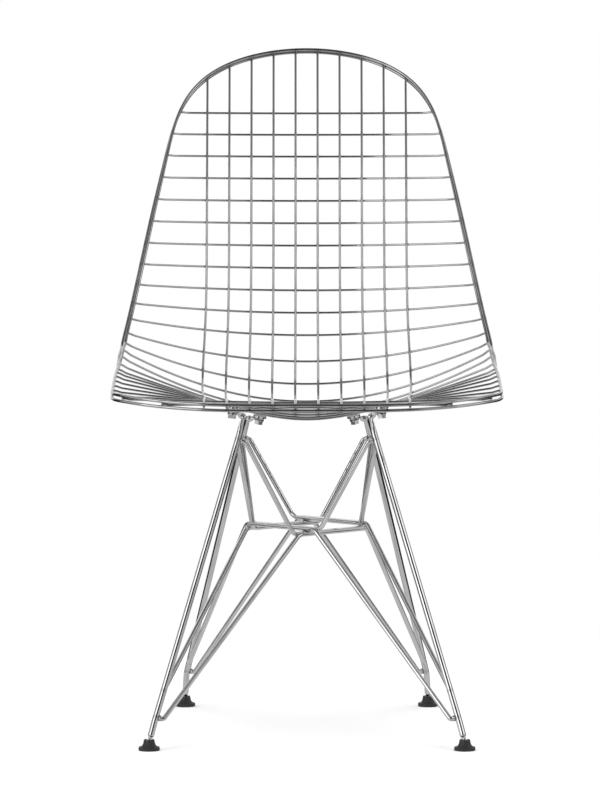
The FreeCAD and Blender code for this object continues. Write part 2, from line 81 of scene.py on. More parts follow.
def middle_line(station):
    """Depth and height of the shell's middle line. Each run adds a round arc, or a straight line
    where its lean stays the same, as far as the station reaches into it."""
    depth = np.full(np.shape(station), top_depth)
    height = np.full(np.shape(station), top_height)
    run_start = 0.0
    for number, (start, end, length) in enumerate(shell_runs):
        farthest = np.inf if number == len(shell_runs) - 1 else length
        part = np.clip(station - run_start, 0.0 if number else -np.inf, farthest)
        lean = math.radians(start)
        bend = math.radians(end - start) / length
        if bend:
            depth = depth + (np.cos(lean + bend * part) - math.cos(lean)) / bend
            height = height - (np.sin(lean + bend * part) - math.sin(lean)) / bend
        else:
            depth = depth - part * math.sin(lean)
            height = height - part * math.cos(lean)
        run_start += length
    return depth, height


# Half widths of the shell: a long taper down the back, rounded top and front corners, and two
# swells of the rim, at the top's shoulders and beside the low back.
half_width_top = 139.0
half_width_seat = 239.0
taper_length = 695.0
taper_power = 2.1
top_round_length = 140.0
top_round_power = 3.9
corner_length = 88.0
corner_power = 2.4
shoulder_swell = 1.4
shoulder_station = 115.0
shoulder_reach = 45.0
flare_swell = 3.2
flare_station = 405.0
flare_reach = 100.0


def hump(distance, reach, power=2.0):
    """A smooth hump, e to the minus (distance over reach) squared, or to a higher power, which
    makes its top flatter."""
    return np.exp(-np.abs(distance / reach) ** power)


def half_side(station):
    """Half width without the rounded ends: full at the seat, less by a power law up the back."""
    taper = np.maximum(0.0, 1.0 - station / taper_length)
    return half_width_seat - (half_width_seat - half_width_top) * taper ** taper_power


def half_outline(station):
    """Half width out to the rim: the side's half width and two swells, times a superellipse at
    the top and one at the front corners."""
    shoulder = shoulder_swell * hump(station - shoulder_station, shoulder_reach)
    flare = flare_swell * hump(station - flare_station, flare_reach)
    top = np.clip((top_round_length - station) / top_round_length, 0.0, 1.0)
    front = np.clip((station - shell_length + corner_length) / corner_length, 0.0, 1.0)
    rounded = np.sqrt(1.0 - top ** top_round_power)
    swollen = half_side(station) + shoulder + flare
    return swollen * rounded * (1.0 - front ** corner_power) ** (1.0 / corner_power)


# The shell's sides come forward of its middle line, as wings beside the sitter, and stand above it
# beside the seat. Across the back the hollow is an even curve; the seat is flatter in its middle.
side_rise = 65.0
side_rise_station = 516.0
side_rise_back_reach = 104.0
side_rise_front_reach = 239.5
front_edge_rise = -20.0
wing_depth = 62.0
wing_station = 440.0
wing_back_reach = 330.0
wing_back_power = 4.0
wing_front_reach = 130.0
wing_rise_share = 0.16
wing_rise_back_reach = 255.0
hollow_back = 3.0
hollow_front = 0.33
hollow_station = 470.0
hollow_reach = 45.0


def shell_point(across, station):
    """Point of the shell: the middle line, moved forward and up towards its sides by a share of
    the side's own reach. The share is a hyperbola of across over half the width."""
    distance = station - wing_station
    behind = wing_depth * hump(distance, wing_back_reach, wing_back_power)
    wing = np.where(distance < 0, behind, wing_depth * hump(distance, wing_front_reach))
    lift = wing_depth * hump(distance, np.where(distance < 0, wing_rise_back_reach, wing_front_reach))
    distance = station - side_rise_station
    behind = side_rise * hump(distance, side_rise_back_reach)
    ahead = front_edge_rise + (side_rise - front_edge_rise) * hump(distance, side_rise_front_reach)
    rise = np.where(distance < 0, behind, ahead) + wing_rise_share * lift
    past = np.maximum(0.0, station - hollow_station)
    softness = hollow_front + (hollow_back - hollow_front) * hump(past, hollow_reach)
    reach = np.hypot(np.abs(across) / half_side(station), softness)
    share = (reach - softness) / (np.hypot(1.0, softness) - softness)
    depth, height = middle_line(station)
    return np.stack([across + 0.0 * depth, depth - wing * share, height + rise * share], axis=-1)


def unit(vectors):
    """The same directions with length 1."""
    return vectors / np.linalg.norm(vectors, axis=-1, keepdims=True)


def shell_normal(across, station):
    """Direction square to the shell, towards the sitter: the product of its two slopes."""
    step = 0.5
    sideways = shell_point(across + step, station) - shell_point(across - step, station)
    along = shell_point(across, station + step) - shell_point(across, station - step)
    return unit(np.cross(along, sideways))


# Every wire and rod is chromed steel: bright nickel and chrome over drawn rod, with a faint grain
# along its length from the drawing, a thin grey haze where hands and cloths have been, and a duller
# ring round each weld. The shell's wires take a darker copy of the rods' chrome: painted shade.
def shader_nodes(tree):
    """Short ways to add a node with its settings and to join two sockets."""

    def add(kind, **settings):
        node = tree.nodes.new(kind)
        for key, value in settings.items():
            setattr(node, key, value)
        return node

    return add, tree.links.new


def value_socket(group, name, default, low=0.0, high=1.0):
    """Adds a number input to a node group."""
    socket = group.interface.new_socket(name, in_out="INPUT", socket_type="NodeSocketFloat")
    socket.default_value = default
    socket.min_value = low
    socket.max_value = high


# A Mix node's colour sockets are found by number, because its other sockets share their names.
plating = bpy.data.node_groups.new("plating", "ShaderNodeTree")
for socket_name in ("Bright", "Dull"):
    plating.interface.new_socket(socket_name, in_out="INPUT", socket_type="NodeSocketColor")
plating.interface.new_socket("Place", in_out="INPUT", socket_type="NodeSocketVector")
value_socket(plating, "Haze Scale", 40.0, 0.0, 10000.0)
value_socket(plating, "Haze", 0.1)
value_socket(plating, "Smoothest", 0.06)
value_socket(plating, "Weld", 0.0)
value_socket(plating, "Grain Scale", 2500.0, 0.0, 100000.0)
value_socket(plating, "Grain Depth", 0.00001)
plating.interface.new_socket("Colour", in_out="OUTPUT", socket_type="NodeSocketColor")
plating.interface.new_socket("Roughness", in_out="OUTPUT", socket_type="NodeSocketFloat")
plating.interface.new_socket("Normal", in_out="OUTPUT", socket_type="NodeSocketVector")
colour_a = 6
colour_b = 7
mixed_colour = 2
add, join = shader_nodes(plating)
given = add("NodeGroupInput")
put_out = add("NodeGroupOutput")
haze_noise = add("ShaderNodeTexNoise", noise_dimensions="3D")
haze_noise.inputs["Detail"].default_value = 4.0
haze_noise.inputs["Roughness"].default_value = 0.6
join(given.outputs["Place"], haze_noise.inputs["Vector"])
join(given.outputs["Haze Scale"], haze_noise.inputs["Scale"])
haze_mask = add("ShaderNodeMapRange", interpolation_type="SMOOTHSTEP")
haze_mask.inputs["From Min"].default_value = 0.42
haze_mask.inputs["From Max"].default_value = 0.72
join(haze_noise.outputs["Fac"], haze_mask.inputs["Value"])
dulled = add("ShaderNodeMath", operation="MAXIMUM", use_clamp=True)
join(haze_mask.outputs["Result"], dulled.inputs[0])
join(given.outputs["Weld"], dulled.inputs[1])
tint = add("ShaderNodeMix", data_type="RGBA")
join(dulled.outputs["Value"], tint.inputs["Factor"])
join(given.outputs["Bright"], tint.inputs[colour_a])
join(given.outputs["Dull"], tint.inputs[colour_b])
join(tint.outputs[mixed_colour], put_out.inputs["Colour"])
rougher = add("ShaderNodeMath", operation="MULTIPLY_ADD", use_clamp=True)
join(dulled.outputs["Value"], rougher.inputs[0])
join(given.outputs["Haze"], rougher.inputs[1])
join(given.outputs["Smoothest"], rougher.inputs[2])
join(rougher.outputs["Value"], put_out.inputs["Roughness"])
grain_noise = add("ShaderNodeTexNoise", noise_dimensions="3D")
grain_noise.inputs["Detail"].default_value = 2.0
join(given.outputs["Place"], grain_noise.inputs["Vector"])
join(given.outputs["Grain Scale"], grain_noise.inputs["Scale"])
grain_bump = add("ShaderNodeBump")
join(grain_noise.outputs["Fac"], grain_bump.inputs["Height"])
join(given.outputs["Grain Depth"], grain_bump.inputs["Distance"])
join(grain_bump.outputs["Normal"], put_out.inputs["Normal"])


drawn_out = 0.06


def plated_material(name, bright, dull, follows_wire, **values):
    """A plated metal. On a wire the pattern runs in the wire's own UV map, drawn out along it,
    and the weld attribute dulls it; elsewhere it lies on object coordinates."""
    material = bpy.data.materials.new(name)
    material.use_nodes = True
    add, join = shader_nodes(material.node_tree)
    shader = material.node_tree.nodes["Principled BSDF"]
    shader.inputs["Metallic"].default_value = 1.0
    finish = add("ShaderNodeGroup")
    finish.node_tree = plating
    finish.inputs["Bright"].default_value = (*bright, 1.0)
    finish.inputs["Dull"].default_value = (*dull, 1.0)
    for key, value in values.items():
        finish.inputs[key.replace("_", " ").title()].default_value = value
    if follows_wire:
        uv = add("ShaderNodeUVMap", uv_map="wire")
        drawn = add("ShaderNodeMapping")
        drawn.inputs["Scale"].default_value = (drawn_out, 1.0, 1.0)
        join(uv.outputs["UV"], drawn.inputs["Vector"])
        join(drawn.outputs["Vector"], finish.inputs["Place"])
        weld = add("ShaderNodeAttribute", attribute_name="weld")
        join(weld.outputs["Fac"], finish.inputs["Weld"])
    else:
        place = add("ShaderNodeTexCoord")
        join(place.outputs["Object"], finish.inputs["Place"])
    join(finish.outputs["Colour"], shader.inputs["Base Color"])
    join(finish.outputs["Roughness"], shader.inputs["Roughness"])
    join(finish.outputs["Normal"], shader.inputs["Normal"])
    return material


rod_chrome = (0.76, 0.76, 0.77)
hazy_rod_chrome = (0.52, 0.52, 0.52)
# The wires' chrome and its hazy copy are the rods' chrome made darker: painted shade on the mesh.
wire_chrome = (0.52, 0.52, 0.53)
hazy_wire_chrome = (0.38, 0.38, 0.38)
chromed_wire = plated_material(
    "chromed_wire", wire_chrome, hazy_wire_chrome, True,
    haze_scale=600.0, haze=0.10, smoothest=0.06, grain_scale=3000.0, grain_depth=0.000004,
)
chromed_rod = plated_material(
    "chromed_rod", rod_chrome, hazy_rod_chrome, True,
    haze_scale=300.0, haze=0.07, smoothest=0.04, grain_scale=1800.0, grain_depth=0.000005,
)


def skin(name, rings, closed, weld, material):
    """Piece from rings of points along a wire, with a quad between each two neighbours on two
    neighbouring rings, and a flat end on the first and last ring unless the wire is closed. The
    UV map runs in metres along the wire and round it. Weld is one number for each ring."""
    count, sides = rings.shape[:2]
    ring = np.arange(count if closed else count - 1)[:, None]
    side = np.arange(sides)[None, :]
    after = (ring + 1) % count
    beside = (side + 1) % sides
    corners = [ring * sides + side, ring * sides + beside, after * sides + beside, after * sides + side]
    faces = np.stack(corners, axis=-1).reshape(-1, 4).tolist()
    middle = rings.mean(axis=1)
    steps = np.linalg.norm(np.roll(middle, -1, axis=0) - middle, axis=-1)
    travelled = np.concatenate([[0.0], np.cumsum(steps)])
    round_length = np.linalg.norm(rings[count // 2] - np.roll(rings[count // 2], 1, axis=0), axis=-1).sum()
    along = np.stack([travelled[ring + 0 * side], travelled[ring + 0 * side],
                      travelled[ring + 1 + 0 * side], travelled[ring + 1 + 0 * side]], axis=-1)
    around = np.stack([side + 0 * ring, side + 1 + 0 * ring, side + 1 + 0 * ring, side + 0 * ring], axis=-1)
    uv = np.stack([along, around * (round_length / sides)], axis=-1).reshape(-1, 2)
    if not closed:
        faces.append(list(range(sides - 1, -1, -1)))
        faces.append(list(range((count - 1) * sides, count * sides)))
        uv = np.concatenate([uv, np.zeros((2 * sides, 2))])
    mesh = bpy.data.meshes.new(name)
    mesh.from_pydata(rings.reshape(-1, 3).tolist(), [], faces)
    mesh.polygons.foreach_set("use_smooth", np.ones(len(faces), bool))
    layer = mesh.uv_layers.new(name="wire")
    layer.data.foreach_set("uv", uv.astype(np.float32).ravel())
    mask = mesh.attributes.new("weld", "FLOAT", "POINT")
    mask.data.foreach_set("value", np.repeat(weld, sides).astype(np.float32))
    mesh.materials.append(material)
    piece = bpy.data.objects.new(name, mesh)
    bpy.context.scene.collection.objects.link(piece)
    return piece


# While the pieces are laid out, depth is counted from the middle of the base, and the packed
# chair has been moved along so that its whole box is centred. The front glide tells how far.
front_foot = np.array([192.5, -204.0, 0.0])
glide_low, glide_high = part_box("glide_front_right")
moved = np.array([0.0, (glide_low.y + glide_high.y) / 2.0 - front_foot[1] * METRE, 0.0])


def round_section(centre, normal, radius, flat=None, sides=16):
    """Rings round a line of centre points: centre + radius * (cos a * normal + sin a * side), the
    side direction being the line's own direction times the normal. Flat is the half thickness
    along the normal, where that is less than the radius."""
    ahead = np.gradient(centre, axis=0)
    return ring_points(centre, ahead, normal, radius, flat, sides)


def ring_points(centre, ahead, normal, radius, flat, sides):
    """The rings of round_section for known directions along the line."""
    side = unit(np.cross(ahead, normal))
    square = unit(np.cross(side, ahead))
    turn = np.arange(sides) * (2.0 * math.pi / sides)
    radius = np.broadcast_to(radius, centre.shape[0])[:, None, None]
    flat = radius if flat is None else np.broadcast_to(flat, centre.shape[0])[:, None, None]
    upward = flat * np.cos(turn)[None, :, None] * square[:, None, :]
    outward = radius * np.sin(turn)[None, :, None] * side[:, None, :]
    return (centre[:, None, :] + upward + outward) * METRE + moved


close_shares = (0.03, 0.2, 0.5, 1.0)


def with_round_ends(low, high, step, radius):
    """Even places between two ends, with closer ones near both ends, and the wire's radius at
    each of them: it follows a quarter circle over the last length of one radius."""
    close = radius * np.array(close_shares)
    margin = 2.0 * radius
    count = int(math.ceil((high - low - 2.0 * margin) / step)) + 1
    even = np.linspace(low + margin, high - margin, count)
    places = np.concatenate([low + close, even, high - close[::-1]])
    to_end = np.minimum(1.0, np.minimum(places - low, high - places) / radius)
    return places, radius * np.sqrt(1.0 - (1.0 - to_end) ** 2)


# The cross wires are the mesh's thinner wires. They lie on the sitter's far side, under the
# lengthwise ones, and each runs from rim to rim, where its ends slip in between the two rims.
cross_radius = 1.4
lengthwise_radius = 1.5
rim_radius = 2.0
weld_gap = 0.02
first_row = 89.5
row_pitch = 30.0
wide_row_pitch = 35.0
rows_above_wide_pitch = 11
row_count = 25
lengthwise_pitch = 28.5
lengthwise_per_side = 5
knee_spread = 0.035
knee_spread_station = 480.0
knee_spread_reach = 90.0
front_gather = 0.025
front_gather_station = 560.0
wire_end_straight = 3.0
wire_end_blend = 9.0
wire_step = 3.0
weld_reach = 2.4
weld_swell = 0.1
row_numbers = np.arange(row_count)
row_stations = first_row + row_pitch * row_numbers
row_stations = row_stations + (wide_row_pitch - row_pitch) * (row_numbers >= rows_above_wide_pitch)


def lengthwise_across(number, station):
    """Distance of a lengthwise wire from the middle: its number less a half, times the pitch,
    spread a little at the knee and gathered a little towards the front edge."""
    spread = 1.0 + knee_spread * hump(station - knee_spread_station, knee_spread_reach)
    past = np.maximum(0.0, station - front_gather_station)
    spread = spread - front_gather * past / (shell_length - front_gather_station)
    return (number - 0.5) * lengthwise_pitch * spread


def smooth_step(share):
    """3x squared - 2x cubed: from 0 to 1 with a level start and end."""
    return share * share * (3.0 - 2.0 * share)


def lifted(across, station, to_end, full):
    """Points off the shell along its normal. The offset is full along the wire and fades out
    smoothly towards the wire's end, where it runs in between the rims."""
    offset = full * smooth_step(np.clip((to_end - wire_end_straight) / wire_end_blend, 0.0, 1.0))
    normal = shell_normal(across, station)
    return shell_point(across, station) + normal * offset[..., None], normal


def near_weld(places, welds):
    """1 at a weld, falling away over a few millimetres on both sides of it."""
    nearest = np.abs(places[:, None] - np.asarray(welds)[None, :]).min(axis=1)
    return hump(nearest, weld_reach)


cross_offset = -(cross_radius + weld_gap / 2.0)
wire_numbers = np.arange(1, lengthwise_per_side + 1)
for row, station in enumerate(row_stations, start=1):
    edge = float(half_outline(station))
    across, radius = with_round_ends(-edge, edge, wire_step, cross_radius)
    centre, normal = lifted(across, station + 0.0 * across, edge - np.abs(across), cross_offset)
    crossings = lengthwise_across(wire_numbers, station)
    weld = near_weld(across, np.concatenate([-crossings, crossings, [-edge, edge]]))
    rings = round_section(centre, normal, radius * (1.0 + weld_swell * weld))
    wire = skin("cross_wire_chromed_%02d" % row, rings, False, weld, chromed_wire)
    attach(wire, "chair")
    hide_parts("cross_wire_%02d" % row)


# The ten lengthwise wires are a little thicker. They lie on the sitter's side, five on each side
# of the middle, and run down the back, round the knee and forward over the seat.
lengthwise_offset = lengthwise_radius + weld_gap / 2.0
halvings = 60


def crossing_station(number, low, high):
    """Station where a lengthwise wire meets the outline, by halving the range many times."""
    for step in range(halvings):
        middle = (low + high) / 2.0
        inside = half_outline(middle) > lengthwise_across(number, middle)
        inside_low = half_outline(low) > lengthwise_across(number, low)
        low, high = (middle, high) if inside == inside_low else (low, middle)
    return (low + high) / 2.0


for number in wire_numbers:
    start = crossing_station(number, 0.0, top_round_length)
    end = crossing_station(number, shell_length - corner_length, shell_length)
    station, radius = with_round_ends(start, end, wire_step, lengthwise_radius)
    to_end = np.minimum(station - start, end - station)
    across = lengthwise_across(number, station)
    weld = near_weld(station, np.concatenate([row_stations, [start, end]]))
    for side_name, side in (("right", 1.0), ("left", -1.0)):
        centre, normal = lifted(side * across, station, to_end, lengthwise_offset)
        rings = round_section(centre, normal, radius * (1.0 + weld_swell * weld))
        wire = skin("lengthwise_wire_chromed_%s_%d" % (side_name, number), rings, False, weld, chromed_wire)
        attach(wire, "chair")
        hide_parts("lengthwise_wire_%s_%d" % (side_name, number))


# Two closed rim wires sandwich the ends of the mesh wires, one on the sitter's side and one
# behind, and are welded to them. They are the thickest wires of the shell.
rim_offset = rim_radius + lengthwise_radius + weld_gap
rim_step = 3.0
outline_samples = 4001
mirror = np.array([-1.0, 1.0, 1.0])

# Stations closer together towards the top and the front edge, where the outline turns fastest.
even_turn = 0.5 - 0.5 * np.cos(np.linspace(0.0, math.pi, outline_samples))
outline_station = shell_length * smooth_step(even_turn)
outline_across = half_outline(outline_station)


def along_line(line):
    """Distance travelled along a line up to each of its points."""
    return np.concatenate([[0.0], np.cumsum(np.linalg.norm(np.diff(line, axis=0), axis=-1))])


def rim_rings(offset):
    """Rings of a rim wire: the outline moved along the shell's normal, walked in even steps from
    the top to the front edge on the right, and back up on the left as its mirror image."""
    normal = shell_normal(outline_across, outline_station)
    line = shell_point(outline_across, outline_station) + normal * offset
    travelled = along_line(line)
    count = int(travelled[-1] / rim_step)
    even = np.linspace(0.0, travelled[-1], count + 1)
    centre = np.stack([np.interp(even, travelled, line[:, axis]) for axis in range(3)], axis=-1)
    square = np.stack([np.interp(even, travelled, normal[:, axis]) for axis in range(3)], axis=-1)
    centre = np.concatenate([centre, centre[-2:0:-1] * mirror])
    square = np.concatenate([square, square[-2:0:-1] * mirror])
    ahead = np.roll(centre, -1, axis=0) - np.roll(centre, 1, axis=0)
    return ring_points(centre, ahead, square, rim_radius, flat=None, sides=20), centre


end_points = []
for station in row_stations:
    edge = float(half_outline(station))
    end_points += [(-edge, station), (edge, station)]
for number in wire_numbers:
    for low, high in ((0.0, top_round_length), (shell_length - corner_length, shell_length)):
        station = crossing_station(number, low, high)
        across = lengthwise_across(number, station)
        end_points += [(-across, station), (across, station)]
end_points = np.array(end_points)

for name, offset in (("upper", rim_offset), ("lower", -rim_offset)):
    rings, centre = rim_rings(offset)
    wire_ends = shell_point(end_points[:, 0], end_points[:, 1])
    nearest = np.linalg.norm(centre[:, None, :] - wire_ends[None, :, :], axis=-1).min(axis=1)
    weld = hump(np.maximum(0.0, nearest - rim_offset), weld_reach)
    rim = skin("rim_%s_chromed" % name, rings, True, weld, chromed_wire)
    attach(rim, "chair")
    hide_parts("rim_%s_wire" % name)


# The base is bent from thicker rod: four legs, each kinked near the floor, with a ball for its
# glide at the foot and its top bent over and hammered flat where it is bolted to the seat.
leg_radius = 4.0
longest_bend_share = 0.45
arc_steps = 9
weld_stretch = 6.0
weld_steps = 9
least_step = 0.01


def rounded_route(corners, bends):
    """Straight runs with a round arc at each inner corner. An arc starts the bend times the
    tangent of half the turn before its corner, and runs start + bend * (sin t * way in +
    (1 - cos t) * the direction square to it)."""
    corners = np.asarray(corners, float)
    inner = corners[1:-1]
    way_in = unit(inner - corners[:-2])
    way_out = unit(corners[2:] - inner)
    turn = np.arccos(np.clip((way_in * way_out).sum(axis=-1, keepdims=True), -1.0, 1.0))
    runs = np.linalg.norm(np.diff(corners, axis=0), axis=-1)
    room = longest_bend_share * np.minimum(runs[:-1], runs[1:])
    reach = np.minimum(np.asarray(bends)[:, None] * np.tan(turn / 2.0), room[:, None])
    bend = reach / np.tan(turn / 2.0)
    square = unit(way_out - way_in * np.cos(turn))
    part = np.linspace(0.0, 1.0, arc_steps)[None, :, None] * turn[:, None, :]
    arcs = (inner - way_in * reach)[:, None, :] + bend[:, None, :] * (
        np.sin(part) * way_in[:, None, :] + (1.0 - np.cos(part)) * square[:, None, :]
    )
    return np.concatenate([corners[:1], arcs.reshape(-1, 3), corners[-1:]])


def with_weld_places(line, welds):
    """A line with a few more points on its straight runs near each weld, and their distances."""
    travelled = along_line(line)
    near = (np.asarray(welds)[:, None] + np.linspace(-weld_stretch, weld_stretch, weld_steps)).ravel()
    near = near[(near > 0.0) & (near < travelled[-1])]
    places = np.unique(np.concatenate([travelled, near]))
    places = places[np.concatenate([[True], np.diff(places) > least_step])]
    return np.stack([np.interp(places, travelled, line[:, axis]) for axis in range(3)], axis=-1), places


# The legs' flat ends are bolted up against four mounts. Each mount is welded under two cross
# wires, counted from the top of the back, and its pad spans the gap between them.
front_mount_rows = (21, 22)
rear_mount_rows = (15, 16)
front_mount_out = 90.5
rear_mount_out = 57.5
mount_height = 7.5
pad_width = 14.0
pad_points = 5


def mount_frame(rows, out, tab_side):
    """Directions of a seat mount under two cross wires, up, along and across, and where the top of
    the leg's flat end lies: the mount's height below the lowest part of the wires over its pad."""
    station = row_stations[np.array(rows) - 1][:, None]
    across = out + pad_width * np.linspace(-0.5, 0.5, pad_points)[None, :]
    wires = lifted(across, station + 0.0 * across, half_outline(station) - across, cross_offset)[0]
    pad_middle = wires[:, pad_points // 2]
    along = unit(pad_middle[1] - pad_middle[0])
    ahead = (wires[:, -1] - wires[:, 0]).sum(axis=0)
    up = unit(np.cross(along, ahead))
    sideways = unit(np.cross(up, along))
    middle = pad_middle.mean(axis=0)
    lowest = ((wires - middle) @ up).min()
    return {
        "up": up,
        "along": along,
        "tab_top": middle + up * (lowest - cross_radius - mount_height - 2.0 * weld_gap),
        "tab_way": sideways * math.copysign(1.0, tab_side * sideways[0]),
    }


front_mount = mount_frame(front_mount_rows, front_mount_out, 1.0)
rear_mount = mount_frame(rear_mount_rows, rear_mount_out, -1.0)

rear_foot = np.array([156.6, 203.0, 0.0])
front_kink = np.array([185.6, -195.95, 35.5])
rear_kink = np.array([154.55, 195.25, 43.0])
kink_bend = 15.0
front_top_bend = 5.5
rear_top_bend = 6.5
front_leg_reach = 15.5
rear_leg_reach = 15.0
tab_thickness = 3.0
tab_half_width = 6.0
washer_radius = 6.2
washer_clearance = 0.2
ball_height = 10.0
ball_radius = 4.5
neck_radius = 2.6
neck_clearance = 0.3
glide_height = 13.4
glide_swing = 10.0
tip_share = 0.02
ball_steps = 12
shoulder_steps = 4
flattening_steps = 8
tab_steps = 9


def leg_line(foot, kink, mount, reach, top_bend):
    """Middle line of a right leg with the half width and half thickness at each of its points:
    the ball, its neck, the round rod with its kink and top bend, and the flattened end."""
    ball = np.array([foot[0], foot[1], ball_height])
    foot_way = unit(kink - ball)
    tab_way = mount["tab_way"]
    top = mount["tab_top"] - mount["up"] * leg_radius - tab_way * reach
    widest = math.radians(glide_swing) + math.acos(foot_way[2])
    mouth_height = glide_height - ball_height + neck_clearance
    shoulder = (mouth_height + leg_radius * math.sin(widest)) / math.cos(widest)
    ball_turn = np.linspace(tip_share, math.pi - math.asin(neck_radius / ball_radius), ball_steps)
    shoulder_turn = np.linspace(0.0, math.pi / 2.0, shoulder_steps)
    shoulder_round = leg_radius - neck_radius
    foot_reach = np.concatenate([
        -ball_radius * np.cos(ball_turn),
        shoulder + shoulder_round * (1.0 - np.cos(shoulder_turn)),
    ])
    foot_radius = np.concatenate([
        ball_radius * np.sin(ball_turn),
        neck_radius + shoulder_round * np.sin(shoulder_turn),
    ])
    foot_points = ball + foot_way * foot_reach[:, None]
    rod_start = ball + foot_way * (shoulder + leg_radius)
    flat_start = top + tab_way * (reach - washer_radius - washer_clearance)
    rod = rounded_route([rod_start, kink, top, flat_start], [kink_bend, top_bend])[:-1]
    taper = np.linspace(0.0, 1.0, flattening_steps)[1:]
    ease = smooth_step(taper)
    drop = mount["up"] * (leg_radius - tab_thickness / 2.0)
    flat_points = rod[-1] + (flat_start - rod[-1]) * taper[:, None] + drop * ease[:, None]
    tab_middle = mount["tab_top"] - mount["up"] * (tab_thickness / 2.0)
    turn = np.linspace(0.0, math.pi / 2.0, tab_steps)
    tab_points = tab_middle + tab_way * (tab_half_width * np.sin(turn))[:, None]
    centre = np.concatenate([foot_points, rod, flat_points, tab_points])
    width = np.concatenate([
        foot_radius,
        np.full(len(rod), leg_radius),
        leg_radius + (tab_half_width - leg_radius) * ease,
        tab_half_width * np.maximum(tip_share, np.cos(turn)),
    ])
    thickness = np.concatenate([
        foot_radius,
        np.full(len(rod), leg_radius),
        leg_radius + (tab_thickness / 2.0 - leg_radius) * ease,
        np.full(len(tab_points), tab_thickness / 2.0),
    ])
    return centre, width, thickness


def mirrored(rings):
    """Rings on the other side of the chair, each walked backwards so that faces still point out."""
    return (rings * mirror)[:, ::-1]


strut_radius = 3.0
front_upper_drop = 28.0
rear_upper_drop = 25.8
front_lower_inner_weld = 39.5
front_lower_cross_weld = 71.0
rear_lower_inner_weld = 47.5
rear_lower_cross_weld = 62.0
legs = {}
for name, foot, kink, mount, reach, top_bend, drop, inner_weld, cross_weld in (
    ("front", front_foot, front_kink, front_mount, front_leg_reach, front_top_bend,
     front_upper_drop, front_lower_inner_weld, front_lower_cross_weld),
    ("rear", rear_foot, rear_kink, rear_mount, rear_leg_reach, rear_top_bend,
     rear_upper_drop, rear_lower_inner_weld, rear_lower_cross_weld),
):
    ball = np.array([foot[0], foot[1], ball_height])
    top = mount["tab_top"] - mount["up"] * leg_radius - mount["tab_way"] * reach
    welds = {"upper": (top[2] - drop, top[2] - drop), "lower": (inner_weld, cross_weld)}
    legs[name] = {"ball": ball, "kink": kink, "welds": welds}
    legs[name].update(foot_way=unit(kink - ball), way=unit(top - kink))
    centre, width, thickness = leg_line(foot, kink, mount, reach, top_bend)
    weld_heights = [inner_weld, cross_weld, top[2] - drop]
    travelled = along_line(centre)
    heights = np.maximum.accumulate(centre[:, 2])
    line, places = with_weld_places(centre, np.interp(weld_heights, heights, travelled))
    square = np.cross(mount["along"], np.gradient(line, axis=0))
    square = square * np.where(square @ mount["up"] < 0.0, -1.0, 1.0)[:, None]
    width = np.interp(places, travelled, width)
    thickness = np.interp(places, travelled, thickness)
    right_rings = round_section(line, square, width, thickness, sides=24)
    weld = near_weld(line[:, 2], weld_heights)
    for side_name, rings in (("right", right_rings), ("left", mirrored(right_rings))):
        leg = skin("leg_%s_%s_chromed" % (name, side_name), rings, False, weld, chromed_rod)
        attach(leg, "chair")
        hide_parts("leg_%s_%s" % (name, side_name))


# Eight thinner struts tie the legs together. Each butts against the side of a leg, runs in to the
# square ring where all of them meet, round two of its corners, and out to the leg diagonally
# opposite. Four of them end high on the legs and four low, and the ring is two rods deep.
strut_end_length = 5.5
strut_bend = 12.0
strut_end_bend = 5.0
fillet_height = 0.9
ring_height_share = 0.676
ring_half_depth = 79.0
ring_corners = {"upper": (16.5, 67.5), "lower": (9.0, 75.0)}
ring_height = ring_height_share * legs["front"]["welds"]["upper"][0]
strut_levels = (ring_height, ring_height + 2.0 * strut_radius + weld_gap)


def weld_end(leg, side, height, towards):
    """Tip of a strut on a leg at a height, and the corner just before it."""
    start, way = (leg["kink"], leg["way"]) if height > leg["kink"][2] else (leg["ball"], leg["foot_way"])
    other_side = np.array([side, 1.0, 1.0])
    point = (start + way * ((height - start[2]) / way[2])) * other_side
    way = way * other_side
    out = unit(towards - way * (towards @ way))
    tip = point + out * (leg_radius + weld_gap)
    return tip, tip + out * strut_end_length


for layer, (near, far) in ring_corners.items():
    for side_name, side in (("left", -1.0), ("right", 1.0)):
        for end_name, far_name, rearward in (("front", "rear", -1.0), ("rear", "front", 1.0)):
            level = strut_levels[int((side_name == "left") != (end_name == "front"))]
            inner_weld = legs[end_name]["welds"][layer][0]
            cross_weld = legs[far_name]["welds"][layer][1]
            near_end = weld_end(legs[end_name], side, inner_weld, np.array([-side, 0.0, 0.0]))
            far_end = weld_end(legs[far_name], -side, cross_weld, np.array([0.0, rearward, 0.0]))
            corners = [
                near_end[0],
                near_end[1],
                np.array([side * near, rearward * ring_half_depth, level]),
                np.array([-side * far, 0.0, level]),
                far_end[1],
                far_end[0],
            ]
            line = rounded_route(corners, [strut_end_bend, strut_bend, strut_bend, strut_end_bend])
            ends = [0.0, along_line(line)[-1]]
            line, places = with_weld_places(line, ends)
            weld = near_weld(places, ends)
            upward = np.broadcast_to(np.array([0.0, 0.0, 1.0]), line.shape)
            rings = round_section(line, upward, strut_radius + fillet_height * weld, sides=20)
            name = "%s_strut_%s_%s" % (layer, end_name, side_name)
            strut = skin(name + "_chromed", rings, False, weld, chromed_rod)
            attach(strut, "chair")
            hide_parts(name)


# The seat mounts are small chromed steel turnings with a plate on top, welded under two cross
# wires. A zinc plated bolt with a hexagon head and a washer holds each leg's flat end to one.
chromed_pad = plated_material(
    "chromed_pad", rod_chrome, hazy_rod_chrome, False,
    haze_scale=220.0, haze=0.10, smoothest=0.06, grain_scale=2500.0, grain_depth=0.000006,
)
zinc = (0.70, 0.70, 0.72)
hazy_zinc = (0.46, 0.46, 0.47)
zinc_plated = plated_material(
    "zinc_plated", zinc, hazy_zinc, False,
    haze_scale=450.0, haze=0.16, smoothest=0.12, grain_scale=4000.0, grain_depth=0.00001,
)


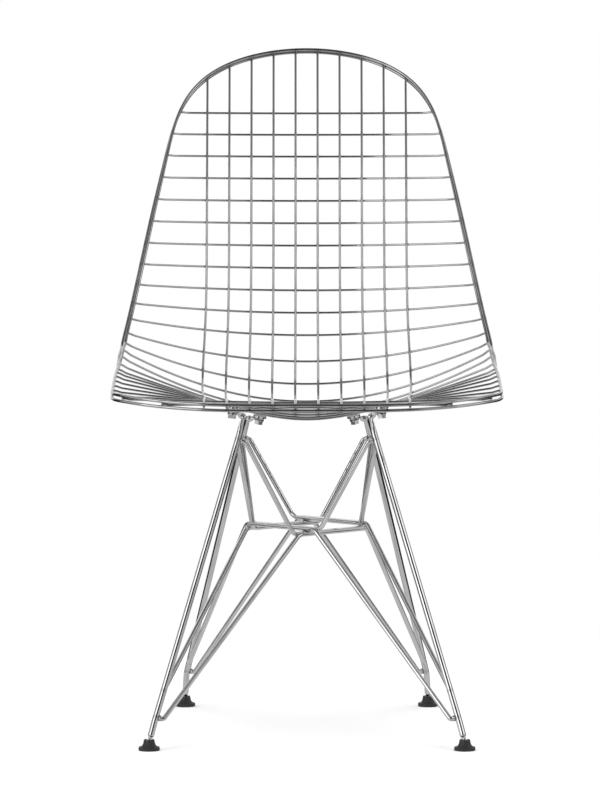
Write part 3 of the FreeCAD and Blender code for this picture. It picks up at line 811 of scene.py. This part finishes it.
def refinish(node, material):
    """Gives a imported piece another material, with its shape as it was packed."""
    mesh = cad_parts[node].data
    mesh.materials.clear()
    mesh.materials.append(material)


for end_name in ("front", "rear"):
    for side_name in ("left", "right"):
        refinish("seat_mount_%s_%s" % (end_name, side_name), chromed_pad)
refinish("mount_washers", zinc_plated)
refinish("mount_bolts", zinc_plated)


# The swivel glides are moulded in black nylon: a flange on the floor and a bell with a socket
# that snaps over the leg's ball, so that each one tilts to lie flat on an uneven floor.
black_nylon = (0.008, 0.008, 0.009, 1.0)
scuffed_nylon = (0.030, 0.030, 0.031, 1.0)
glide_plastic = bpy.data.materials.new("glide_plastic")
glide_plastic.use_nodes = True
add, join = shader_nodes(glide_plastic.node_tree)
shader = glide_plastic.node_tree.nodes["Principled BSDF"]
place = add("ShaderNodeTexCoord")
scuffs = add("ShaderNodeTexNoise")
scuffs.inputs["Scale"].default_value = 260.0
scuffs.inputs["Detail"].default_value = 5.0
join(place.outputs["Object"], scuffs.inputs["Vector"])
scuff_colour = add("ShaderNodeMix", data_type="RGBA")
scuff_colour.inputs[colour_a].default_value = black_nylon
scuff_colour.inputs[colour_b].default_value = scuffed_nylon
join(scuffs.outputs["Fac"], scuff_colour.inputs["Factor"])
join(scuff_colour.outputs[mixed_colour], shader.inputs["Base Color"])
scuff_roughness = add("ShaderNodeMapRange")
scuff_roughness.inputs["To Min"].default_value = 0.38
scuff_roughness.inputs["To Max"].default_value = 0.62
join(scuffs.outputs["Fac"], scuff_roughness.inputs["Value"])
join(scuff_roughness.outputs["Result"], shader.inputs["Roughness"])
moulded_grain = add("ShaderNodeTexNoise")
moulded_grain.inputs["Scale"].default_value = 3500.0
join(place.outputs["Object"], moulded_grain.inputs["Vector"])
moulded_bump = add("ShaderNodeBump")
moulded_bump.inputs["Distance"].default_value = 0.00004
join(moulded_grain.outputs["Fac"], moulded_bump.inputs["Height"])
join(moulded_bump.outputs["Normal"], shader.inputs["Normal"])
for end_name in ("front", "rear"):
    for side_name in ("left", "right"):
        refinish("glide_%s_%s" % (end_name, side_name), glide_plastic)


# The stage: a pale floor that turns into the white background a little way from the chair, soft
# lamps above and on both sides, and dark, grey and white cards out of sight. The chrome mirrors
# them, and they give it its lines and tones.
def light_path_share(tree):
    """1 for what the camera sees, also in metal and through glass, and 0 for light falling on
    other things."""
    add, join = shader_nodes(tree)
    path = add("ShaderNodeLightPath")
    seen = add("ShaderNodeMath", operation="ADD", use_clamp=True)
    join(path.outputs["Is Camera Ray"], seen.inputs[0])
    join(path.outputs["Is Glossy Ray"], seen.inputs[1])
    seen_through = add("ShaderNodeMath", operation="ADD", use_clamp=True)
    join(seen.outputs["Value"], seen_through.inputs[0])
    join(path.outputs["Is Transmission Ray"], seen_through.inputs[1])
    return seen_through.outputs["Value"]


world_light = 0.8
world = bpy.data.worlds.new("studio")
bpy.context.scene.world = world
world.use_nodes = True
add, join = shader_nodes(world.node_tree)
lighting = world.node_tree.nodes["Background"]
lighting.inputs["Color"].default_value = (1.0, 1.0, 1.0, 1.0)
lighting.inputs["Strength"].default_value = world_light
white_wall = add("ShaderNodeBackground")
white_wall.inputs["Color"].default_value = (1.0, 1.0, 1.0, 1.0)
white_wall.inputs["Strength"].default_value = 1.0
either = add("ShaderNodeMixShader")
join(light_path_share(world.node_tree), either.inputs["Fac"])
join(lighting.outputs["Background"], either.inputs[1])
join(white_wall.outputs["Background"], either.inputs[2])
join(either.outputs["Shader"], world.node_tree.nodes["World Output"].inputs["Surface"])

floor_material = bpy.data.materials.new("pale_floor")
floor_material.use_nodes = True
tree = floor_material.node_tree
add, join = shader_nodes(tree)
shader = tree.nodes["Principled BSDF"]
shader.inputs["Base Color"].default_value = (0.92, 0.92, 0.92, 1.0)
shader.inputs["Roughness"].default_value = 0.9
shader.inputs["Specular IOR Level"].default_value = 0.0
place = add("ShaderNodeTexCoord")
from_chair = add("ShaderNodeVectorMath", operation="LENGTH")
join(place.outputs["Object"], from_chair.inputs[0])
fade = add("ShaderNodeMapRange", interpolation_type="SMOOTHSTEP")
fade.inputs["From Min"].default_value = 0.4
fade.inputs["From Max"].default_value = 1.1
join(from_chair.outputs["Value"], fade.inputs["Value"])
fade_seen = add("ShaderNodeMath", operation="MULTIPLY")
join(fade.outputs["Result"], fade_seen.inputs[0])
join(light_path_share(tree), fade_seen.inputs[1])
white_floor = add("ShaderNodeEmission")
white_floor.inputs["Strength"].default_value = 1.0
either = add("ShaderNodeMixShader")
join(fade_seen.outputs["Value"], either.inputs["Fac"])
join(shader.outputs["BSDF"], either.inputs[1])
join(white_floor.outputs["Emission"], either.inputs[2])
join(either.outputs["Shader"], tree.nodes["Material Output"].inputs["Surface"])
floor_half = 14.0
floor_mesh = bpy.data.meshes.new("floor")
floor_corners = [(-floor_half, -floor_half, 0.0), (floor_half, -floor_half, 0.0),
                 (floor_half, floor_half, 0.0), (-floor_half, floor_half, 0.0)]
floor_mesh.from_pydata(floor_corners, [], [(0, 1, 2, 3)])
floor_mesh.materials.append(floor_material)
floor = bpy.data.objects.new("floor", floor_mesh)
bpy.context.scene.collection.objects.link(floor)


def soft_lamp(name, place, target, width, height, power):
    """Rectangular soft lamp at a place, turned towards a target."""
    lamp = bpy.data.lights.new(name, "AREA")
    lamp.shape = "RECTANGLE"
    lamp.size = width
    lamp.size_y = height
    lamp.energy = power
    holder = bpy.data.objects.new(name, lamp)
    bpy.context.scene.collection.objects.link(holder)
    position = np.array(place)
    direction = Vector(np.array(target) - position)
    holder.location = place
    holder.rotation_euler = direction.to_track_quat("-Z", "Y").to_euler()
    holder.visible_glossy = False


soft_lamp(
    "overhead_lamp", place=(0.0, -0.3, 3.6), target=(0.0, 0.0, 0.3), width=3.0, height=3.0, power=55.0,
)
soft_lamp(
    "left_lamp", place=(-3.6, -1.6, 1.6), target=(0.0, 0.0, 0.4), width=1.4, height=2.6, power=45.0,
)
soft_lamp(
    "right_lamp", place=(3.9, -0.8, 1.4), target=(0.0, 0.0, 0.4), width=1.0, height=2.4, power=25.0,
)


def tone_card(name, corners, tone):
    """Flat card of one tone that shows in metal and nowhere else: it lights nothing and casts no
    shadow, as the cards and screens round polished metal in a studio are meant to."""
    tone_material = bpy.data.materials.new(name)
    tone_material.use_nodes = True
    card_add, card_join = shader_nodes(tone_material.node_tree)
    glow = card_add("ShaderNodeEmission")
    glow.inputs["Color"].default_value = (tone, tone, tone, 1.0)
    card_join(glow.outputs["Emission"], tone_material.node_tree.nodes["Material Output"].inputs["Surface"])
    tone_material.cycles.emission_sampling = "NONE"
    mesh = bpy.data.meshes.new(name)
    mesh.from_pydata(corners, [], [(0, 1, 2, 3)])
    mesh.materials.append(tone_material)
    piece = bpy.data.objects.new(name, mesh)
    bpy.context.scene.collection.objects.link(piece)
    piece.visible_camera = False
    piece.visible_diffuse = False
    piece.visible_shadow = False
    piece.visible_transmission = False


card_distance = 5.0


def upright_card(name, azimuth_from, azimuth_to, low, high, tone, distance=card_distance):
    """Upright card between two azimuths, counted from the camera's side and positive to the
    right, and between two heights."""
    turns = np.radians(np.array([azimuth_from, azimuth_to]))
    plan = np.stack([np.sin(turns), -np.cos(turns)], axis=-1) * distance
    tone_card(name, [(*plan[0], low), (*plan[1], low), (*plan[1], high), (*plan[0], high)], tone)


def level_card(name, left, right, front, rear, height, tone):
    """Level card between two widths and two depths."""
    corners = [(left, front, height), (right, front, height), (right, rear, height), (left, rear, height)]
    tone_card(name, corners, tone)


# Cards stand side by side round the chair, in degrees from the camera's side, with a dark gap in
# front. A second row of screens stands above and behind them.
black_card_edge = -132
black_card_end = -98
left_grey_end = -56
gap_left = -21
gap_right = 23
right_front_end = 40
right_screen_end = 76
right_card_end = 100
rear_card_end = 150
gap_top = 3.6
card_top = 4.2
right_step = 1.7
rear_step = 1.6
upright_card("dark_gap_front", gap_left, gap_right, 0.0, gap_top, tone=0.008)
upright_card("grey_card_front", gap_left, gap_right, gap_top, card_top, tone=0.45)
upright_card("white_screen_left_front", left_grey_end, gap_left, 0.0, card_top, tone=1.8)
upright_card("grey_screen_left", black_card_end, left_grey_end, 0.0, card_top, tone=0.7)
upright_card("black_card_left", black_card_edge, black_card_end, 0.0, card_top, tone=0.04)
upright_card("grey_screen_right_front", gap_right, right_front_end, 0.0, card_top, tone=0.45)
upright_card("grey_screen_right", right_front_end, right_screen_end, 0.0, right_step, tone=0.5)
upright_card("white_screen_right", right_front_end, right_screen_end, right_step, card_top, tone=1.5)
upright_card("grey_card_right", right_screen_end, right_card_end, 0.0, card_top, tone=0.6)
upright_card("dark_card_right_rear", right_card_end, rear_card_end, 0.0, rear_step, tone=0.08)
upright_card("grey_card_right_rear", right_card_end, rear_card_end, rear_step, card_top, tone=0.7)

high_top = 6.4
high_distance = 5.2
high_width = 20
front_turn = 30
front_tone = 0.3
side_tone = 0.6
for turn in range(black_card_edge, rear_card_end, high_width):
    name = "high_screen_%d" % (turn - black_card_edge)
    tone = front_tone if abs(turn + high_width / 2) < front_turn else side_tone
    upright_card(name, turn, turn + high_width, card_top, high_top, tone, high_distance)

# The ceiling is dark over the chair and grey beside it. In the chrome the floor is light under the
# chair and behind it and dark in front. On each side a dark card lies between two light ones.
stage_half = 5.0
ceiling_half = 1.2
ceiling_front = -4.0
ceiling_rear = 1.7
ceiling_height = 5.0
near_half = 0.58
near_front = -1.1
far_half = 0.9
beside_front = -0.45
beside_rear = 2.4
card_lift = 0.001
far_card_lift = 0.002
level_card(
    "dark_ceiling", -ceiling_half, ceiling_half, ceiling_front, ceiling_rear, ceiling_height, tone=0.04,
)
level_card("floor_card_near", -near_half, near_half, near_front, stage_half, card_lift, tone=0.6)
level_card("floor_card_far_front", -far_half, far_half, -stage_half, near_front, far_card_lift, tone=0.02)
for side_name, left, right in (("left", -stage_half, -near_half), ("right", near_half, stage_half)):
    name = "floor_card_" + side_name
    level_card(name + "_front", left, right, -stage_half, beside_front, card_lift, tone=0.75)
    level_card(name + "_beside", left, right, beside_front, beside_rear, card_lift, tone=0.02)
    level_card(name + "_rear", left, right, beside_rear, stage_half, card_lift, tone=0.5)
for side_name, left, right in (("left", -stage_half, -ceiling_half), ("right", ceiling_half, stage_half)):
    name = "grey_ceiling_" + side_name
    level_card(name, left, right, ceiling_front, ceiling_rear, ceiling_height, tone=0.35)

# The camera stands as far off as the photograph's did, a metre above the floor, looking slightly
# down. Its lens is given for the picture's long side.
camera_place = (-0.0085, -7.2557, 0.98943)
camera_pitch = 4.58
focal_pixels = 5785.3
picture_height = 800.0
sensor_long_side = 36.0
camera_data = bpy.data.cameras.new("camera")
camera_data.sensor_width = sensor_long_side
camera_data.lens = focal_pixels * sensor_long_side / picture_height
camera = bpy.data.objects.new("camera", camera_data)
bpy.context.scene.collection.objects.link(camera)
camera.location = camera_place
camera.rotation_euler = (math.radians(90.0 - camera_pitch), 0.0, 0.0)
bpy.context.scene.camera = camera
bpy.context.scene.view_settings.view_transform = "Standard"
